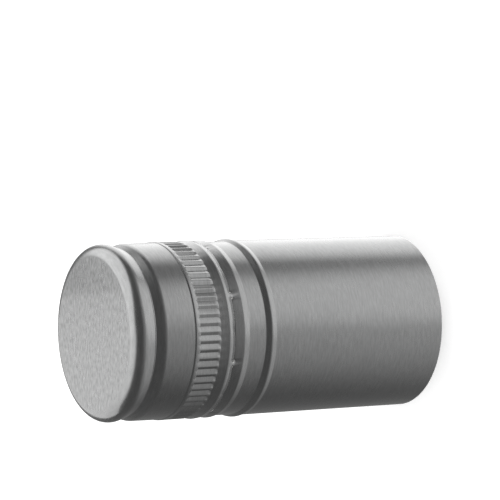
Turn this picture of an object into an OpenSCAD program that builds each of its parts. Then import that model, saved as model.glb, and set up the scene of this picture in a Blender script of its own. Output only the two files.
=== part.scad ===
// Long-skirted aluminium screw cap, as supplied: drawn, knurled and slit, with no thread rolled yet.
// Millimetres. The axis is Z, the open end lies on z = 0 and the crown is on top.
// "Depth" always means the distance below the crown's outer face.

/* [Overall] */
// crown face to open end
height = 60; // [45:1:70]
// outside diameter of the plain skirt
skirt_diameter = 30; // [26:0.5:34]
// thickness of the drawn sheet
wall = 0.23; // [0.18:0.01:0.3]

/* [Crown and rim] */
// outside bend between the crown's face and the rim
crown_bend = 2; // [1.4:0.1:2.4]
// how far the rim lies inside the skirt's outside face
rim_inset = 0.11; // [0:0.01:0.3]
// length of the rim, from the crown's face to its lower edge
rim_length = 4.05; // [3.4:0.05:4.8]
// angle at which the rim's side draws in towards its lower edge
rim_draw_angle = 18; // [8:1:24]
// how far the groove's floor lies inside the body
groove_recess = 0.95; // [0.8:0.05:1.1]
// length from the rim's edge to the groove's floor
groove_drop = 0.3; // [0.2:0.05:0.5]
// length from the groove's floor to the body's corner
shoulder_drop = 0.85; // [0.6:0.05:1]
// outside bend of that corner
shoulder_bend = 2.5; // [1.5:0.1:3]

/* [Body and knurl] */
// how far the body lies inside the skirt's outside face
body_inset = 0.14; // [0:0.01:0.3]
// number of ribs round the knurl
rib_count = 64; // [48:1:72]
// length of the plain body, from the rim's edge to the ribs
body_length = 7.65; // [5:0.05:10]
// length of the ribs
rib_length = 4.4; // [3:0.1:6]
// how far the rib tops stand out of the body
rib_height = 0.2; // [0.1:0.01:0.3]
// how far the floor between the ribs lies inside the body
valley_depth = 0.14; // [0.05:0.01:0.2]
// width of a rib's flat top
rib_top_width = 0.7; // [0.5:0.02:0.8]
// how far a rib's end and flank lean, as run over rise
rib_lean = 0.8; // [0.4:0.05:0.9]

/* [Lip and slit] */
// how far the lip stands out of the skirt's outside face
lip_stand_out = 0.18; // [0.05:0.01:0.3]
// length of the flare, from the ribs' lower ends to the lip's widest line
flare_length = 1.5; // [1.1:0.1:2.5]
// length from the lip's widest line to the slit
lip_length = 0.7; // [0.5:0.05:1.2]
// how far the lip draws in again from its widest line to the slit
lip_draw_in = 0.08; // [0.02:0.01:0.12]
// open height of the slit
slit_height = 0.25; // [0.2:0.05:0.5]
// how far the slit's lower edge is pushed in from the skirt's outside face
slit_push_in = 0.16; // [0.1:0.01:0.2]
// length from the slit's lower edge to the foot of the upper bead
foot_length = 1; // [0.8:0.05:1.4]
// how far that foot lies inside the skirt's outside face
foot_inset = 0.08; // [0.05:0.01:0.1]
// number of bridges left across the slit
bridge_count = 8; // [6:1:12]
// width of a bridge
bridge_width = 0.75; // [0.6:0.05:1.4]
// width of the notch in which the slit ends beside a bridge
notch_width = 0.35; // [0.2:0.05:0.5]
// how far that notch reaches below the slit
notch_length = 0.4; // [0.3:0.05:0.5]

/* [Beads] */
// height of the upper bead above the wall on both sides
upper_bead_height = 0.3; // [0.15:0.01:0.4]
// length of the plain waist between the beads
waist_length = 3.2; // [1.5:0.1:6]
// height of the lower bead above the wall over it
lower_bead_height = 0.5; // [0.3:0.01:0.6]
// half the length of a bead along the cap
bead_reach = 0.95; // [0.8:0.05:1.1]
// how far the wall between the two beads lies inside the skirt's outside face
waist_inset = 0.17; // [0.05:0.01:0.3]
// outside bend at a bead's crest
bead_bend = 0.7; // [0.5:0.05:0.9]

/* [Liner] */
// thickness of the foam disc under the crown
liner_thickness = 2; // [1.2:0.1:2.4]
// play between the disc's edge and the rim
liner_play = 0.15; // [0.05:0.05:0.4]

/* [Hidden] */
$fn = 180;

cap_colour = [0.32, 0.33, 0.33];
liner_colour = [0.93, 0.93, 0.9];

// the small bends of the drawn sheet
soft_bend = 0.5;
tight_bend = 0.27;
hair = 0.01;

skirt_r = skirt_diameter / 2;
rim_r = skirt_r - rim_inset;
body_r = skirt_r - body_inset;
waist_r = skirt_r - waist_inset;
lip_r = skirt_r + lip_stand_out;
lip_edge_r = lip_r - lip_draw_in;
slit_edge_r = skirt_r - slit_push_in;
foot_r = skirt_r - foot_inset;
valley_r = body_r - valley_depth;
rib_r = body_r + rib_height;

// the rim is upright for a moment, then its side draws in with the same bend
rim_upright = 0.05;
rim_turn_depth = crown_bend * (1 + tan(rim_draw_angle / 2)) + rim_upright;
rim_edge_r = rim_r - (rim_length - rim_turn_depth) * tan(rim_draw_angle);
groove_floor_depth = rim_length + groove_drop;
shoulder_depth = groove_floor_depth + shoulder_drop;

// the floor between the ribs slopes down gently at the crown side and stops short at the other
valley_blend = 0.36;
valley_stop = 0.5;
knurl_depth = rim_length + body_length;
knurl_end_depth = knurl_depth + rib_length;
lip_depth = knurl_end_depth + flare_length;
slit_depth = lip_depth + lip_length;
slit_end_depth = slit_depth + slit_height;
foot_depth = slit_end_depth + foot_length;
bridge_end_depth = (slit_end_depth + foot_depth) / 2;
upper_bead_depth = foot_depth + bead_reach;
waist_end_depth = upper_bead_depth + bead_reach + waist_length;
lower_bead_depth = waist_end_depth + bead_reach;
bridge_start_depth = lip_depth + lip_length / 2;

// Sheet profiles. An outline is a list of corners [radius, depth, outside bend radius], walked from
// the crown's middle outwards and down. The inside face is the same outline moved in by the wall.
function unit(v) = v / norm(v);
function heading(path, i) = unit([path[i + 1][0] - path[i][0], path[i][1] - path[i + 1][1]]);
function normal(path, i) = let (u = heading(path, i)) [-u[1], u[0]];
function place(corner) = [corner[0], height - corner[1]];

// a bend takes up this much of the straights beside it; where two bends want more, both get tighter
function angle_at(path, i) = acos(min(1, heading(path, i - 1) * heading(path, i)));
function reach(path, i) =
    i == 0 || i == len(path) - 1 ? 0 : path[i][2] * tan(angle_at(path, i) / 2);
function room(path, i) =
    let (straight = norm([path[i + 1][0] - path[i][0], path[i + 1][1] - path[i][1]]))
    min(1, 0.98 * straight / max(hair, reach(path, i) + reach(path, i + 1)));
function bend_at(path, i) = path[i][2] * min(room(path, i - 1), room(path, i));

function arc_points(corner, before, after, bend) =
    let (
        turn = cross(before, after) < 0 ? -1 : 1,
        angle = acos(min(1, before * after)),
        start_normal = [-before[1], before[0]],
        centre = corner - before * bend * tan(angle / 2) + turn * bend * start_normal,
        steps = max(2, ceil(angle / 9))
    )
    [for (k = [0:steps])
        let (a = turn * angle * k / steps)
        centre - turn * bend * [
            start_normal[0] * cos(a) - start_normal[1] * sin(a),
            start_normal[0] * sin(a) + start_normal[1] * cos(a)
        ]];

// the outline with its bends, moved in by "inset"
function bent(path, inset) =
    let (last = len(path) - 1)
    [
        place(path[0]) - inset * normal(path, 0),
        for (i = [1:last - 1])
            let (
                before = heading(path, i - 1),
                after = heading(path, i),
                n1 = normal(path, i - 1),
                n2 = normal(path, i),
                corner = place(path[i]) - inset * (n1 + n2) / (1 + n1 * n2),
                outward = cross(before, after) < 0,
                bend = bend_at(path, i) + (outward ? -inset : inset)
            )
            each arc_points(corner, before, after, max(hair, bend)),
        place(path[last]) - inset * normal(path, last - 1)
    ];

function reversed(points) = [for (i = [len(points) - 1:-1:0]) points[i]];
function sheet(path) = concat(bent(path, 0), reversed(bent(path, wall)));

upper_path = [
    [0, 0, 0],
    [rim_r, 0, crown_bend],
    [rim_r, rim_turn_depth, crown_bend],
    [rim_edge_r, rim_length, tight_bend],
    [body_r - groove_recess, groove_floor_depth, tight_bend],
    [body_r, shoulder_depth, shoulder_bend],
    [body_r, knurl_depth - valley_blend, soft_bend],
    [valley_r, knurl_depth, soft_bend],
    [valley_r, knurl_end_depth - valley_stop, tight_bend],
    [body_r, knurl_end_depth, tight_bend],
    [lip_r, lip_depth, soft_bend],
    [lip_edge_r, slit_depth, 0]
];

lower_path = [
    [slit_edge_r, slit_end_depth, 0],
    [foot_r, foot_depth, soft_bend],
    [waist_r + upper_bead_height, upper_bead_depth, bead_bend],
    [waist_r, upper_bead_depth + bead_reach, soft_bend],
    [waist_r, waist_end_depth, soft_bend],
    [waist_r + lower_bead_height, lower_bead_depth, bead_bend],
    [skirt_r, lower_bead_depth + bead_reach, soft_bend],
    [skirt_r, height, 0]
];

// a bridge lies a hair inside the lip and the wall below, so that both cover its ends
cover = wall / 8;
bridge_path = [
    [(lip_r + lip_edge_r) / 2 - cover, bridge_start_depth, 0],
    [lip_edge_r - cover, slit_depth, 0],
    [(slit_edge_r + foot_r) / 2 - cover, bridge_end_depth, 0]
];

// a ring of ribs seen along the axis, from its tops down to a root radius
module rib_star(top_r, root_r, top_width) {
    root_pitch = 2 * PI * root_r / rib_count;
    root_width = min(0.97 * root_pitch, top_width + 2 * rib_lean * (top_r - root_r));
    polygon([for (i = [0:rib_count - 1])
        for (p = [[root_r, -root_width], [top_r, -top_width], [top_r, top_width], [root_r, root_width]])
            let (a = i * 360 / rib_count)
            [p[0] * cos(a) - p[1] / 2 * sin(a), p[0] * sin(a) + p[1] / 2 * cos(a)]]);
}

// the ribs' outside, with ends that lean like their flanks; their roots are buried in the wall
module ribs() {
    run_out = rib_lean * (rib_r - valley_r);
    intersection() {
        translate([0, 0, height - knurl_end_depth])
            linear_extrude(rib_length)
                difference() {
                    rib_star(rib_r, valley_r - wall / 3, rib_top_width);
                    circle(r = valley_r - 2 * wall / 3);
                }
        rotate_extrude()
            polygon([
                [0, height - knurl_end_depth],
                [valley_r, height - knurl_end_depth],
                [rib_r + wall, height - knurl_end_depth + run_out * (1 + wall / (rib_r - valley_r))],
                [rib_r + wall, height - knurl_depth - run_out * (1 + wall / (rib_r - valley_r))],
                [valley_r, height - knurl_depth],
                [0, height - knurl_depth]
            ]);
    }
}

// the hollows behind the ribs, which the knurling wheel leaves inside
module rib_hollows() {
    end_wall = wall + rib_lean * (rib_r - valley_r);
    translate([0, 0, height - knurl_end_depth + end_wall])
        linear_extrude(rib_length - 2 * end_wall)
            rib_star(rib_r - wall, valley_r - 1.5 * wall,
                rib_top_width - 2 * wall * (norm([1, rib_lean]) - rib_lean));
}

// a shape drawn on the wall beside each bridge, seen from the side, and pushed through the wall
module through_wall() {
    for (i = [0:bridge_count - 1])
        rotate([0, 0, i * 360 / bridge_count])
            translate([skirt_r / 2, 0, height])
                rotate([90, 0, 90])
                    linear_extrude(skirt_r)
                        children();
}

// what the slit's knife leaves standing
module bridges() {
    intersection() {
        rotate_extrude() polygon(sheet(bridge_path));
        through_wall()
            translate([-bridge_width / 2, -bridge_end_depth - wall])
                square([bridge_width, bridge_end_depth + wall - bridge_start_depth]);
    }
}

// the slit turns down a little where it ends beside a bridge
module slit_ends() {
    through_wall()
        for (side = [-1, 1])
            translate([side * (bridge_width + notch_width) / 2, -slit_end_depth])
                polygon([
                    [-notch_width / 2, slit_height / 2],
                    for (a = [180:30:360])
                        notch_width / 2 * [cos(a), 1 + sin(a)] - [0, notch_length],
                    [notch_width / 2, slit_height / 2]
                ]);
}

module shell() {
    color(cap_colour)
        difference() {
            union() {
                rotate_extrude() polygon(sheet(upper_path));
                rotate_extrude() polygon(sheet(lower_path));
                ribs();
                bridges();
            }
            rib_hollows();
            slit_ends();
        }
}

// foam disc, face to face with the crown and rounded like the bend that it sits in
module sealing_liner() {
    liner_r = rim_r - wall - liner_play;
    liner_path = [
        [0, wall, 0],
        [liner_r, wall, crown_bend - wall],
        [liner_r, wall + liner_thickness, 0]
    ];
    color(liner_colour)
        rotate_extrude()
            polygon(concat(bent(liner_path, 0), [place([0, wall + liner_thickness])]));
}

shell();
sealing_liner();
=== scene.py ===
import math
import bmesh
import bpy
from mathutils import Matrix, Vector


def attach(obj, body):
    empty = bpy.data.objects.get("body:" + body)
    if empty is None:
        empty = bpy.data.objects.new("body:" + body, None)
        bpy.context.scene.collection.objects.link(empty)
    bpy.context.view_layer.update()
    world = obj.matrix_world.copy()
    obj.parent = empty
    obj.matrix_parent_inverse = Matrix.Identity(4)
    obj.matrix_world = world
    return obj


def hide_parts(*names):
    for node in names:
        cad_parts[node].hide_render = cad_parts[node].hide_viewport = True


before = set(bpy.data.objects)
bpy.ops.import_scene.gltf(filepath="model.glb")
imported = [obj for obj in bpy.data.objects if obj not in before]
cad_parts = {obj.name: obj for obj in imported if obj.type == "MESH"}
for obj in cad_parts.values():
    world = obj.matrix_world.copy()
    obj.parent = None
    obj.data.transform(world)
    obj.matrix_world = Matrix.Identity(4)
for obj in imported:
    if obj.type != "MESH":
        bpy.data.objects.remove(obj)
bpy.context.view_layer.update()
mm = 0.001

cameraPlace = {
    "spot": Vector((-139.38, -361.22, 256.06)) * mm,
    "pictureRight": Vector((-0.2247, -0.4536, -0.8624)),   # the crown points left, as in the photograph
    "pictureUp": Vector((0.9140, -0.4050, -0.0251)),
    "lens": 187.2,
    "sensor": 36,
    "nearest": 0.01,
}
restAngle = -26.35                                         # the side that is on top while the cap lies down


def freshStart():
    if bpy.context.mode != "OBJECT":
        bpy.ops.object.mode_set(mode="OBJECT")
    bpy.ops.object.select_all(action="DESELECT")


def named(name):
    piece = bpy.context.object
    piece.name = piece.data.name = name
    return piece


def middle(edge):
    return (edge.verts[0].co + edge.verts[1].co) / 2


# selects the vertices, edges or faces of the piece in edit mode that pass the rule
def pick(kind, rule):
    bpy.ops.mesh.select_mode(type={"verts": "VERT", "edges": "EDGE", "faces": "FACE"}[kind])
    bpy.ops.mesh.select_all(action="DESELECT")
    mesh = bmesh.from_edit_mesh(bpy.context.edit_object.data)
    mesh.normal_update()
    found = 0
    for part in getattr(mesh, kind):
        if rule(part):
            part.select_set(True)
            found += 1
    mesh.select_flush_mode()
    bmesh.update_edit_mesh(bpy.context.edit_object.data)
    return found


def extrudeTo(spot, step):
    bpy.ops.mesh.extrude_region_move(TRANSFORM_OT_translate={"value": step - spot})


def applyAll(piece):
    freshStart()
    piece.select_set(True)
    bpy.context.view_layer.objects.active = piece
    for modifier in list(piece.modifiers):
        bpy.ops.object.modifier_apply(modifier=modifier.name)


def reach(spot):
    return math.hypot(spot.x, spot.y)


def turn(spot, step=360.0):
    angle = math.degrees(math.atan2(spot.y, spot.x)) % step
    return angle if angle <= step / 2 else angle - step    # signed, from the nearest multiple of step


def newMaterial(name):
    material = bpy.data.materials.new(name)
    material.use_nodes = True
    material.node_tree.nodes.clear()
    return material, material.node_tree.nodes, material.node_tree.links


def addNode(nodes, kind, **settings):
    node = nodes.new(kind)
    for key, value in settings.items():
        if key in node.inputs:
            node.inputs[key].default_value = value
        else:
            setattr(node, key, value)
    return node


def newGroup(name, inputs, outputs):
    group = bpy.data.node_groups.new(name, "ShaderNodeTree")
    for label, kind, value in inputs:
        socket = group.interface.new_socket(name=label, in_out="INPUT", socket_type=kind)
        if value is not None:
            socket.default_value = value
    for label, kind in outputs:
        group.interface.new_socket(name=label, in_out="OUTPUT", socket_type=kind)
    nodes = group.nodes
    return group, nodes, group.links, nodes.new("NodeGroupInput"), nodes.new("NodeGroupOutput")


def placeGroup(nodes, group, **values):
    node = nodes.new("ShaderNodeGroup")
    node.node_tree = group
    for label, value in values.items():
        node.inputs[label].default_value = value
    return node


# long fine scratches along one direction, from noise that is stretched by the Scale input
def makeHairlines():
    group, nodes, links, source, result = newGroup(
        "hairlines",
        [("Vector", "NodeSocketVector", None), ("Turn", "NodeSocketFloat", 0.0),
         ("Scale", "NodeSocketVector", (1, 1, 1)), ("Contrast", "NodeSocketFloat", 1.0)],
        [("Lines", "NodeSocketFloat"), ("Cloud", "NodeSocketFloat")])
    spin = addNode(nodes, "ShaderNodeVectorRotate", rotation_type="Z_AXIS")
    stretch = addNode(nodes, "ShaderNodeVectorMath", operation="MULTIPLY")
    fine = addNode(nodes, "ShaderNodeTexNoise", Scale=1.0, Detail=3.0, Roughness=0.6)
    cloud = addNode(nodes, "ShaderNodeTexNoise", Scale=220.0, Detail=2.0)
    sharpen = addNode(nodes, "ShaderNodeMath", operation="MULTIPLY_ADD")
    centre = addNode(nodes, "ShaderNodeMath", operation="SUBTRACT")
    centre.inputs[1].default_value = 0.5
    sharpen.inputs[2].default_value = 0.5
    links.new(source.outputs["Vector"], spin.inputs["Vector"])
    links.new(source.outputs["Turn"], spin.inputs["Angle"])
    links.new(spin.outputs["Vector"], stretch.inputs[0])
    links.new(source.outputs["Scale"], stretch.inputs[1])
    links.new(stretch.outputs["Vector"], fine.inputs["Vector"])
    links.new(source.outputs["Vector"], cloud.inputs["Vector"])
    links.new(fine.outputs["Fac"], centre.inputs[0])
    links.new(centre.outputs[0], sharpen.inputs[0])
    links.new(source.outputs["Contrast"], sharpen.inputs[1])
    links.new(sharpen.outputs[0], result.inputs["Lines"])
    links.new(cloud.outputs["Fac"], result.inputs["Cloud"])
    return group


hairlines = makeHairlines()

lacquerLook = {
    "shade": (0.245, 0.247, 0.247),       # dark grey lacquer over bright metal
    "roughness": 0.28,
    "roughnessPlay": 0.05,
    "coatRoughness": 0.07,
    "coatIor": 1.5,
    "bumpHeight": 0.00002,
    # fine lines round the skirt; vary is how much they change the shade
    "wall": {
        "scale": (600, 600, 3800), "turned": 0.0, "vary": 0.17, "contrast": 1.8, "bump": 0.14,
        "coatScale": (300, 300, 5000), "coatBump": 0.07,
    },
    # short streaks across the crown
    "crown": {
        "scale": (950, 2500, 2800), "turned": math.radians(-restAngle), "vary": 0.40, "contrast": 2.6,
        "bump": 0.40, "coatScale": (950, 2500, 2800), "coatBump": 0.06,
    },
}


def makeLacquer(name, finish):
    material, nodes, links = newMaterial(name)
    place = addNode(nodes, "ShaderNodeTexCoord")
    lines = placeGroup(nodes, hairlines, Turn=finish["turned"], Scale=finish["scale"],
                       Contrast=finish["contrast"])
    links.new(place.outputs["Object"], lines.inputs["Vector"])
    shade = addNode(nodes, "ShaderNodeMix", data_type="RGBA")
    base = lacquerLook["shade"]
    shade.inputs["A"].default_value = tuple(c * (1 - finish["vary"]) for c in base) + (1,)
    shade.inputs["B"].default_value = tuple(c * (1 + finish["vary"]) for c in base) + (1,)
    links.new(lines.outputs["Lines"], shade.inputs["Factor"])
    rough = addNode(nodes, "ShaderNodeMapRange")
    rough.inputs["To Min"].default_value = lacquerLook["roughness"] - lacquerLook["roughnessPlay"]
    rough.inputs["To Max"].default_value = lacquerLook["roughness"] + lacquerLook["roughnessPlay"]
    links.new(lines.outputs["Cloud"], rough.inputs["Value"])
    bump = addNode(nodes, "ShaderNodeBump", Strength=finish["bump"], Distance=lacquerLook["bumpHeight"])
    links.new(lines.outputs["Lines"], bump.inputs["Height"])
    shader = addNode(nodes, "ShaderNodeBsdfPrincipled", Metallic=1.0)
    shader.inputs["Coat Weight"].default_value = 1.0
    shader.inputs["Coat Roughness"].default_value = lacquerLook["coatRoughness"]
    shader.inputs["Coat IOR"].default_value = lacquerLook["coatIor"]
    links.new(shade.outputs["Result"], shader.inputs["Base Color"])
    links.new(rough.outputs["Result"], shader.inputs["Roughness"])
    links.new(bump.outputs["Normal"], shader.inputs["Normal"])
    # the clear coat has a slight unevenness of its own
    flow = addNode(nodes, "ShaderNodeTexNoise", Scale=1.0, Detail=2.0)
    stretch = addNode(nodes, "ShaderNodeMapping")
    stretch.inputs["Rotation"].default_value = (0, 0, finish["turned"])
    stretch.inputs["Scale"].default_value = finish["coatScale"]
    skin = addNode(nodes, "ShaderNodeBump", Strength=finish["coatBump"], Distance=lacquerLook["bumpHeight"])
    links.new(place.outputs["Object"], stretch.inputs["Vector"])
    links.new(stretch.outputs["Vector"], flow.inputs["Vector"])
    links.new(flow.outputs["Fac"], skin.inputs["Height"])
    links.new(skin.outputs["Normal"], shader.inputs["Coat Normal"])
    end = addNode(nodes, "ShaderNodeOutputMaterial")
    links.new(shader.outputs["BSDF"], end.inputs["Surface"])
    return material


wallLacquer = makeLacquer("wallLacquer", lacquerLook["wall"])
crownLacquer = makeLacquer("crownLacquer", lacquerLook["crown"])

# bare metal shows inside and along the cut edges
bareLook = {
    "darkShade": (0.62, 0.62, 0.61, 1), "paleShade": (0.80, 0.80, 0.79, 1),
    "scale": (800, 800, 20000), "contrast": 1.4,
    "smoothest": 0.28, "roughest": 0.42,
}


def makeBareMetal():
    material, nodes, links = newMaterial("cutAluminium")
    place = addNode(nodes, "ShaderNodeTexCoord")
    lines = placeGroup(nodes, hairlines, Scale=bareLook["scale"], Contrast=bareLook["contrast"])
    links.new(place.outputs["Object"], lines.inputs["Vector"])
    shade = addNode(nodes, "ShaderNodeMix", data_type="RGBA")
    shade.inputs["A"].default_value = bareLook["darkShade"]
    shade.inputs["B"].default_value = bareLook["paleShade"]
    links.new(lines.outputs["Lines"], shade.inputs["Factor"])
    rough = addNode(nodes, "ShaderNodeMapRange")
    rough.inputs["To Min"].default_value = bareLook["smoothest"]
    rough.inputs["To Max"].default_value = bareLook["roughest"]
    links.new(lines.outputs["Cloud"], rough.inputs["Value"])
    shader = addNode(nodes, "ShaderNodeBsdfPrincipled", Metallic=1.0)
    links.new(shade.outputs["Result"], shader.inputs["Base Color"])
    links.new(rough.outputs["Result"], shader.inputs["Roughness"])
    end = addNode(nodes, "ShaderNodeOutputMaterial")
    links.new(shader.outputs["BSDF"], end.inputs["Surface"])
    return material


bareMetal = makeBareMetal()

# the drawn shell is one outline turned round the axis, then ribbed and slit
shell = {
    "height": 60.0,
    "sheet": 0.23,
    "columns": 256,                    # 4 to a rib, 32 to a bridge
    # radius, depth below the crown, outside bend radius, in mm
    "outline": [
        (14.89, 0.00, 2.00), (14.89, 2.37, 2.00), (14.35, 4.02, 0.16), (14.14, 4.26, 0.16),
        (14.86, 5.66, 2.00), (14.94, 11.06, 0), (14.95, 11.14, 0), (14.96, 11.19, 0),
        (15.05, 11.30, 0), (15.06, 11.35, 0), (15.06, 11.50, 0), (15.06, 11.92, 0),
        (15.06, 12.20, 0), (15.06, 15.40, 0), (15.06, 15.94, 0), (14.88, 16.08, 0), (15.18, 17.60, 0.60),
        (15.10, 18.40, 0), (14.84, 18.52, 0), (14.87, 18.85, 0), (15.14, 20.50, 0.70),
        (14.83, 21.55, 0.50), (14.83, 24.75, 0.50), (15.33, 25.70, 0.70), (15.00, 26.65, 0.50),
        (15.00, 60.00, 0),
    ],
    # pitches and angles are in degrees round the axis, all else is a depth, a radius or a length in mm
    "ribPitch": 5.625,
    "ribStart": 11.92, "valleyStart": 12.20, "valleyEnd": 15.40, "ribEnd": 15.94,
    "ridgeAngle": 0.75, "faceAngle": 1.25,
    "ribTop": 15.06, "faceMiddle": 15.01, "faceSide": 14.91, "valleyFloor": 14.74,
    "endMiddle": 14.97, "endSide": 14.87, "endFloor": 14.84,
    "valleyRound": 0.05, "ridgeRound": 0.10,
    "bridgePitch": 45.0, "bridgeHalf": 1.41, "notchSide": 2.81, "notchRoom": 0.4,
    "slitTop": 18.40, "slitBottom": 18.52, "notchEnd": 18.85,
    "lipInside": 14.95, "lipOutside": 15.0,                # the slit's step lies between these radii
    "lobePitch": 22.5, "lobeDrop": 0.28, "lobePress": 0.06, "lobeShape": 0.7,
    "bridgeFoot": 0.35, "bridgeSpread": 15.02 / 14.84,
    "smoothAngle": 35,
}
rowPlay = 0.02                         # how near a point lies to the row that it belongs to, in mm
turnPlay = 0.1                         # and to its column, in degrees


def depthOf(spot):
    return shell["height"] - spot.z / mm


def at(radius, depth):
    return Vector((radius * mm, 0, (shell["height"] - depth) * mm))


def drawOutline(corners):
    start = at(0, 0)
    bpy.ops.mesh.primitive_plane_add(size=1 * mm, location=start)
    piece = named("shell_drawn")
    bpy.ops.object.transform_apply(location=True)
    bpy.ops.object.mode_set(mode="EDIT")
    bpy.ops.mesh.merge(type="CENTER")                       # one point at the pole
    spot = start
    for radius, depth, bend in corners:
        extrudeTo(spot, at(radius, depth))
        spot = at(radius, depth)
    points = [start] + [at(radius, depth) for radius, depth, bend in corners]
    for index, (radius, depth, bend) in enumerate(corners[:-1], 1):
        if bend:
            before, here, after = points[index - 1], points[index], points[index + 1]
            angle = (here - before).angle(after - here)
            room = 0.49 * min((here - before).length, (after - here).length)
            cut = min(bend * mm * math.tan(angle / 2), room if bend < 2 else 1)
            pick("verts", lambda v: (v.co - here).length < 2e-6)
            bpy.ops.mesh.bevel(offset=cut, segments=max(2, round(math.degrees(angle) / 9)), affect="VERTICES")
    return piece


def spinShell(columns):
    bpy.ops.mesh.select_all(action="SELECT")
    bpy.ops.mesh.spin(steps=columns, angle=2 * math.pi, center=(0, 0, 0), axis=(0, 0, 1))
    bpy.ops.mesh.select_all(action="SELECT")
    bpy.ops.mesh.remove_doubles(threshold=1e-6)
    bpy.ops.mesh.normals_make_consistent(inside=False)


def onRow(spot, depth):
    return abs(depthOf(spot) - depth) < rowPlay


def between(spot, start, end):
    return start - rowPlay < depthOf(spot) < end + rowPlay


# moves the picked points out or in round the axis
def spread(scale, rule):
    found = pick("verts", rule)
    if found:
        bpy.ops.transform.resize(value=(scale, scale, 1), center_override=(0, 0, 0))
    return found


def slide(step, rule):
    if pick("verts", rule):
        bpy.ops.transform.translate(value=(0, 0, step * mm))


# turns the picked points round the axis
def swing(angle, rule):
    if pick("verts", rule):
        bpy.ops.transform.rotate(value=math.radians(-angle), orient_axis="Z", center_override=(0, 0, 0))


# 64 valleys are pressed into the land, and what is left between them are the ribs
def pressValleys():
    pitch, top = shell["ribPitch"], shell["ribTop"]
    start, end = shell["ribStart"], shell["ribEnd"]
    floorStart, floorEnd = shell["valleyStart"], shell["valleyEnd"]
    onColumn = lambda spot, angle: abs(turn(spot, pitch) - angle) < turnPlay
    inValley = lambda spot: abs(turn(spot, pitch)) > pitch / 2 - turnPlay
    print("valley points", spread(shell["valleyFloor"] / top, lambda v: inValley(v.co)
                                  and (onRow(v.co, floorStart) or onRow(v.co, floorEnd))))
    spread(shell["endFloor"] / top, lambda v: onRow(v.co, end) and inValley(v.co))
    spread(shell["endSide"] / top, lambda v: onRow(v.co, end) and onColumn(v.co, pitch / 4))
    spread(shell["endMiddle"] / top, lambda v: onRow(v.co, end) and onColumn(v.co, 0))
    # each rib leans over, as the knurling wheel leaves it: a long face rises to a ridge at one side
    for side, angle in ((1, shell["faceAngle"]), (-1, shell["ridgeAngle"])):
        swing(side * (angle - pitch / 4),
              lambda v: between(v.co, start, end) and onColumn(v.co, side * pitch / 4))
    for radius, angle in ((shell["faceSide"], shell["faceAngle"]), (shell["faceMiddle"], 0)):
        spread(radius / top, lambda v: between(v.co, floorStart, floorEnd) and onColumn(v.co, angle))

    # the bottom of each valley and each ridge are rounded, along the rib but not across it
    def along(edge, first, rule):
        ends = [v.co for v in edge.verts]
        return all(between(c, first, end) and rule(c) for c in ends) and abs(ends[0].z - ends[1].z) > 0.2 * mm

    pick("edges", lambda e: along(e, floorStart, inValley))
    bpy.ops.mesh.bevel(offset=shell["valleyRound"] * mm, segments=2, affect="EDGES", clamp_overlap=True)
    print("ridges", pick("edges", lambda e: along(e, start, lambda c: onColumn(c, -shell["ridgeAngle"]))))
    bpy.ops.mesh.bevel(offset=shell["ridgeRound"] * mm, segments=3, affect="EDGES", clamp_overlap=True)


# the slit runs round under the lip, and stops short of each bridge, where it turns down a little
def cutSlit():
    pitch, lobe, columnStep = shell["bridgePitch"], shell["lobePitch"], 360 / shell["columns"]
    fromBridge = lambda spot: abs(turn(spot, pitch))
    # between bridges the knife leaves two shallow lobes, pressed in along the lip's lower edge
    steps = round(lobe / columnStep)
    slitTop, slitBottom, notchEnd = shell["slitTop"], shell["slitBottom"], shell["notchEnd"]
    for step in range(1, steps // 2 + 1):
        share = math.sin(math.pi * step / steps) ** shell["lobeShape"]
        onLobe = lambda spot: abs(abs(turn(spot, lobe)) - step * columnStep) < columnStep / 4
        for row in (slitTop, slitBottom):
            slide(-share * shell["lobeDrop"], lambda v: onRow(v.co, row) and onLobe(v.co)
                  and fromBridge(v.co) > shell["notchSide"] - turnPlay)
        spread(1 - share * shell["lobePress"] / shell["lipOutside"],
               lambda v: onLobe(v.co) and reach(v.co) > shell["lipOutside"] * mm
               and slitTop - rowPlay < depthOf(v.co) < notchEnd - rowPlay)
    # a bridge slopes down and in, further than the wall beside it
    onBridge = lambda v, row: onRow(v.co, row) and fromBridge(v.co) < shell["bridgeHalf"] + turnPlay
    spread(shell["bridgeSpread"], lambda v: onBridge(v, slitBottom))
    slide(-shell["bridgeFoot"], lambda v: onBridge(v, notchEnd))

    def cutAway(face):
        away = fromBridge(face.calc_center_median())
        depths = sorted(depthOf(v.co) for v in face.verts)
        radii = [reach(v.co) / mm for v in face.verts]
        inSlit = (max(radii) > shell["lipOutside"] and min(radii) < shell["lipInside"]
                  and slitTop - rowPlay < depths[0] and depths[-1] < notchEnd - rowPlay
                  and away > shell["bridgeHalf"])
        inNotch = (slitBottom - rowPlay < depths[0] and depths[-1] < notchEnd + shell["notchRoom"]
                   and shell["bridgeHalf"] < away < shell["notchSide"])
        return inSlit or inNotch

    print("slit faces", pick("faces", cutAway))
    bpy.ops.mesh.delete(type="FACE")


def thickenSheet(piece):
    freshStart()
    solid = piece.modifiers.new("sheet", "SOLIDIFY")
    solid.thickness = shell["sheet"] * mm
    solid.offset = -1
    solid.use_even_offset = False
    solid.material_offset = 2
    solid.material_offset_rim = 3
    even = piece.modifiers.new("even", "WEIGHTED_NORMAL")
    even.keep_sharp = True
    applyAll(piece)


print("outline")
freshStart()
drawnShell = drawOutline(shell["outline"])
bpy.ops.mesh.select_all(action="SELECT")
bpy.ops.mesh.remove_doubles(threshold=5e-6)
spinShell(shell["columns"])
pressValleys()
cutSlit()
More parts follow.
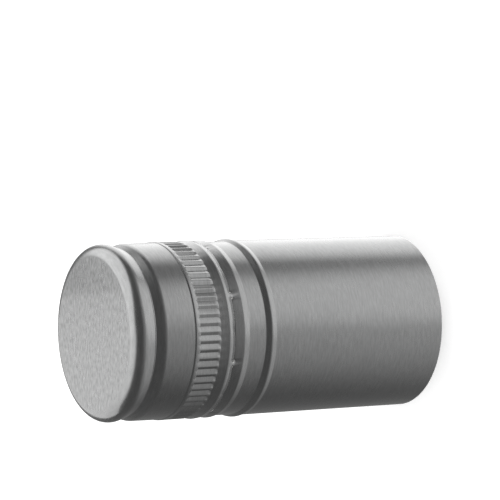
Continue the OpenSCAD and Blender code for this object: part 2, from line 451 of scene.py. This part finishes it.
# slots: wall, crown, inside, cut edge
for material in (wallLacquer, crownLacquer, bareMetal, bareMetal):
    drawnShell.data.materials.append(material)
drawnShell.active_material_index = 1
pick("faces", lambda f: f.calc_center_median().z > (shell["height"] - 0.01) * mm)
bpy.ops.object.material_slot_assign()
bpy.ops.object.mode_set(mode="OBJECT")
bpy.ops.object.shade_smooth_by_angle(angle=math.radians(shell["smoothAngle"]))
thickenSheet(drawnShell)
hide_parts("shell")
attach(drawnShell, "root")
print("shell", len(drawnShell.data.vertices), "points",
      sum(len(face.vertices) - 2 for face in drawnShell.data.polygons), "triangles")

# a foam disc with a pale film, under the crown
liner = {
    "radius": 14.5, "top": 0.24, "thickness": 1.98,
    "topBend": 1.76, "edge": 0.12,        # the upper edge follows the bend of the crown
    "ringInset": 1.5, "ringWidth": 0.35, "ringDepth": 0.12, "ringBend": 0.1,
    "shade": (0.80, 0.80, 0.77), "foamScale": 2600.0, "softScale": 400.0,
    "smoothest": 0.42, "roughest": 0.6, "bump": 0.3, "bumpHeight": 0.00003,
}


def makeLinerFilm():
    material, nodes, links = newMaterial("linerFilm")
    place = addNode(nodes, "ShaderNodeTexCoord")
    foam = addNode(nodes, "ShaderNodeTexVoronoi", Scale=liner["foamScale"])
    soft = addNode(nodes, "ShaderNodeTexNoise", Scale=liner["softScale"], Detail=3.0)
    links.new(place.outputs["Object"], foam.inputs["Vector"])
    links.new(place.outputs["Object"], soft.inputs["Vector"])
    shade = addNode(nodes, "ShaderNodeMix", data_type="RGBA")
    shade.inputs["A"].default_value = tuple(0.93 * c for c in liner["shade"]) + (1,)
    shade.inputs["B"].default_value = liner["shade"] + (1,)
    links.new(soft.outputs["Fac"], shade.inputs["Factor"])
    rough = addNode(nodes, "ShaderNodeMapRange")
    rough.inputs["To Min"].default_value = liner["smoothest"]
    rough.inputs["To Max"].default_value = liner["roughest"]
    links.new(soft.outputs["Fac"], rough.inputs["Value"])
    bump = addNode(nodes, "ShaderNodeBump", Strength=liner["bump"], Distance=liner["bumpHeight"])
    links.new(foam.outputs["Distance"], bump.inputs["Height"])
    shader = addNode(nodes, "ShaderNodeBsdfPrincipled")
    links.new(shade.outputs["Result"], shader.inputs["Base Color"])
    links.new(rough.outputs["Result"], shader.inputs["Roughness"])
    links.new(bump.outputs["Normal"], shader.inputs["Normal"])
    end = addNode(nodes, "ShaderNodeOutputMaterial")
    links.new(shader.outputs["BSDF"], end.inputs["Surface"])
    return material


print("liner")
freshStart()
bpy.ops.mesh.primitive_cylinder_add(vertices=128, radius=liner["radius"] * mm, depth=liner["thickness"] * mm,
                                    location=at(0, liner["top"] + liner["thickness"] / 2))
linerDisc = named("liner_disc")
bpy.ops.object.transform_apply(location=True)
bpy.ops.object.mode_set(mode="EDIT")
isLevel = lambda edge: abs(edge.verts[0].co.z - edge.verts[1].co.z) < 0.001 * mm
for bend, steps, above in ((liner["topBend"], 12, True), (liner["edge"], 3, False)):
    pick("edges", lambda e: isLevel(e) and reach(middle(e)) > (liner["radius"] - 0.1) * mm
         and (depthOf(middle(e)) < 1) == above)
    bpy.ops.mesh.bevel(offset=bend * mm, segments=steps, affect="EDGES")
pick("faces", lambda f: f.normal.z < -0.99 and len(f.verts) > 20)
bpy.ops.mesh.inset(thickness=liner["ringInset"] * mm)
bpy.ops.mesh.inset(thickness=liner["ringWidth"] * mm, depth=-liner["ringDepth"] * mm)
bpy.ops.mesh.inset(thickness=liner["ringWidth"] * mm)
bpy.ops.mesh.inset(thickness=liner["ringWidth"] * mm, depth=liner["ringDepth"] * mm)
pick("edges", lambda e: 11 * mm < reach(middle(e)) < 13.5 * mm and isLevel(e)
     and e.is_manifold and e.calc_face_angle() > 0.2)
bpy.ops.mesh.bevel(offset=liner["ringBend"] * mm, segments=2, affect="EDGES")
bpy.ops.object.mode_set(mode="OBJECT")
linerDisc.data.materials.append(makeLinerFilm())
bpy.ops.object.shade_smooth_by_angle(angle=math.radians(shell["smoothAngle"]))
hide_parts("sealing_liner")
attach(linerDisc, "root")

print("studio")
# the lamps stand away from the crown: degrees round it from the cap's top side, rise, size in m, brightness
studio = {
    "tableSize": 6.0,
    "tableShade": (0.82, 0.82, 0.82, 1),
    "tableGlow": 0.35,
    "world": 0.9,
    "lampReach": 0.45,
    "lamps": [("softboxBehind", 135, 50, 0.36, 1.7), ("softboxBeside", 30, 30, 0.30, 2.0)],
}


def whiteForCamera(nodes, links):
    path = nodes.new("ShaderNodeLightPath")
    seen = addNode(nodes, "ShaderNodeMath", operation="MAXIMUM")
    both = addNode(nodes, "ShaderNodeMath", operation="MAXIMUM")
    links.new(path.outputs["Is Camera Ray"], seen.inputs[0])
    links.new(path.outputs["Is Glossy Ray"], seen.inputs[1])
    links.new(seen.outputs[0], both.inputs[0])
    links.new(path.outputs["Is Transmission Ray"], both.inputs[1])
    return both.outputs[0]


def makeTable():
    freshStart()
    bpy.ops.mesh.primitive_plane_add(size=studio["tableSize"], location=(0, 0, 0))
    table = named("table")
    material, nodes, links = newMaterial("tablePaper")
    paper = addNode(nodes, "ShaderNodeBsdfDiffuse", Color=studio["tableShade"])
    glow = addNode(nodes, "ShaderNodeEmission", Color=(1, 1, 1, 1))
    level = addNode(nodes, "ShaderNodeMath", operation="MULTIPLY")
    level.inputs[1].default_value = studio["tableGlow"]
    links.new(whiteForCamera(nodes, links), level.inputs[0])
    links.new(level.outputs[0], glow.inputs["Strength"])
    both = nodes.new("ShaderNodeAddShader")
    links.new(paper.outputs[0], both.inputs[0])
    links.new(glow.outputs[0], both.inputs[1])
    end = nodes.new("ShaderNodeOutputMaterial")
    links.new(both.outputs[0], end.inputs["Surface"])
    table.data.materials.append(material)
    table.visible_glossy = False            # the metal looks past the tabletop, at the dome round the cap


makeTable()


# the dome and the card show in the metal only: they don't light anything, and the camera doesn't see them
def onlyInReflections(piece):
    piece.visible_camera = piece.visible_diffuse = piece.visible_transmission = False
    piece.visible_shadow = piece.visible_volume_scatter = False


def softbox(name, spot, goal, size, brightness):
    lamp = bpy.data.lights.new(name, "AREA")
    lamp.shape = "RECTANGLE"
    lamp.size, lamp.size_y = size, size
    lamp.energy = brightness * math.pi * size * size          # brightness 1 is plain white
    box = bpy.data.objects.new(name, lamp)
    bpy.context.scene.collection.objects.link(box)
    box.location = spot
    box.rotation_euler = (Vector(goal) - Vector(spot)).to_track_quat("-Z", "Y").to_euler()
    box.visible_camera = box.visible_glossy = False


def direction(angle, rise):
    a, e = math.radians(angle), math.radians(rise)
    return Vector((math.cos(a) * math.cos(e), math.sin(a) * math.cos(e), math.sin(e)))


# the metal shows a dark dome round the cap, with five soft lights on it and a white card beside the crown
dome = {
    "reach": 0.6,
    "felt": 0.18,
    # degrees round the cap, rise, full out to, gone at, brightness
    "lights": [
        (10, 48, 36, 50, 1.95),            # a large one behind
        (100, 72, 20, 48, 1.70),           # overhead, on the crown's side
        (-78, -50, 18, 46, 1.40),          # low in front
        (-100, -65, 10, 75, 0.90),         # the spill round it
        (20, -35, 12, 40, 1.60),           # low behind
    ],
    # the card reaches from one angle round the cap to another, and from one rise to another
    "cardFrom": 67.0, "cardTo": 130.0, "cardLow": 8.0, "cardHigh": 50.0,
    "cardReach": 0.49, "cardBrightness": 1.30,
}


def makeDome():
    freshStart()
    centre = at(0, shell["height"] / 2)
    bpy.ops.mesh.primitive_uv_sphere_add(segments=64, ring_count=32, radius=dome["reach"], location=centre)
    felt = named("dome")
    bpy.ops.object.transform_apply(location=True)
    material, nodes, links = newMaterial("domeFelt")
    place = addNode(nodes, "ShaderNodeTexCoord")
    outward = addNode(nodes, "ShaderNodeVectorMath", operation="SUBTRACT")
    outward.inputs[1].default_value = centre
    unit = addNode(nodes, "ShaderNodeVectorMath", operation="NORMALIZE")
    links.new(place.outputs["Object"], outward.inputs[0])
    links.new(outward.outputs["Vector"], unit.inputs[0])
    brightest = None
    for angle, rise, full, gone, brightness in dome["lights"]:
        near = addNode(nodes, "ShaderNodeVectorMath", operation="DOT_PRODUCT")
        near.inputs[1].default_value = direction(angle, rise)
        glow = addNode(nodes, "ShaderNodeMapRange", interpolation_type="SMOOTHSTEP")
        glow.inputs["From Min"].default_value = math.cos(math.radians(gone))
        glow.inputs["From Max"].default_value = math.cos(math.radians(full))
        glow.inputs["To Min"].default_value = dome["felt"]
        glow.inputs["To Max"].default_value = brightness
        links.new(unit.outputs["Vector"], near.inputs[0])
        links.new(near.outputs["Value"], glow.inputs["Value"])
        if brightest is None:
            brightest = glow.outputs["Result"]
        else:
            most = addNode(nodes, "ShaderNodeMath", operation="MAXIMUM")
            links.new(brightest, most.inputs[0])
            links.new(glow.outputs["Result"], most.inputs[1])
            brightest = most.outputs[0]
    paper = addNode(nodes, "ShaderNodeEmission")
    links.new(brightest, paper.inputs["Strength"])
    end = nodes.new("ShaderNodeOutputMaterial")
    links.new(paper.outputs[0], end.inputs["Surface"])
    felt.data.materials.append(material)
    onlyInReflections(felt)


def makeCrownCard():
    freshStart()
    half = math.radians(dome["cardTo"] - dome["cardFrom"]) / 2
    facing = math.radians(dome["cardTo"] + dome["cardFrom"]) / 2
    low, high = (dome["cardReach"] * math.tan(math.radians(dome[key])) for key in ("cardLow", "cardHigh"))
    middleSpot = at(0, 0) + dome["cardReach"] * math.cos(half) * direction(math.degrees(facing), 0)
    middleSpot.z += (low + high) / 2
    turned = (math.pi / 2, 0, facing + math.pi / 2)
    bpy.ops.mesh.primitive_plane_add(size=1, location=middleSpot, rotation=turned)
    card = named("crownCard")
    card.scale = (2 * dome["cardReach"] * math.sin(half), high - low, 1)
    bpy.ops.object.transform_apply(location=True, rotation=True, scale=True)
    material, nodes, links = newMaterial("crownCardPaper")
    paper = addNode(nodes, "ShaderNodeEmission", Strength=dome["cardBrightness"])
    end = nodes.new("ShaderNodeOutputMaterial")
    links.new(paper.outputs[0], end.inputs["Surface"])
    card.data.materials.append(material)
    onlyInReflections(card)


makeDome()
makeCrownCard()

crownSpot = at(0, 0)
for name, angle, rise, size, brightness in studio["lamps"]:
    spot = crownSpot + studio["lampReach"] * direction(restAngle + angle, rise)
    softbox(name, spot, crownSpot, size, brightness)

world = bpy.data.worlds.new("studio")
bpy.context.scene.world = world
world.use_nodes = True
world.node_tree.nodes.clear()
worldNodes, worldLinks = world.node_tree.nodes, world.node_tree.links
levels = addNode(worldNodes, "ShaderNodeMapRange")
levels.inputs["To Min"].default_value = studio["world"]
levels.inputs["To Max"].default_value = 1.0
worldLinks.new(whiteForCamera(worldNodes, worldLinks), levels.inputs["Value"])
sky = addNode(worldNodes, "ShaderNodeBackground", Color=(1, 1, 1, 1))
worldLinks.new(levels.outputs["Result"], sky.inputs["Strength"])
worldEnd = worldNodes.new("ShaderNodeOutputWorld")
worldLinks.new(sky.outputs[0], worldEnd.inputs["Surface"])

view = bpy.data.cameras.new("photoCamera")
camera = bpy.data.objects.new("photoCamera", view)
bpy.context.scene.collection.objects.link(camera)
right, up = cameraPlace["pictureRight"], cameraPlace["pictureUp"]
towards = Matrix((right, up, right.cross(up))).transposed().to_4x4()
camera.matrix_world = Matrix.Translation(cameraPlace["spot"]) @ towards
view.lens = cameraPlace["lens"]
view.sensor_width = cameraPlace["sensor"]
view.clip_start = cameraPlace["nearest"]
bpy.context.scene.camera = camera
bpy.context.scene.view_settings.view_transform = "Standard"
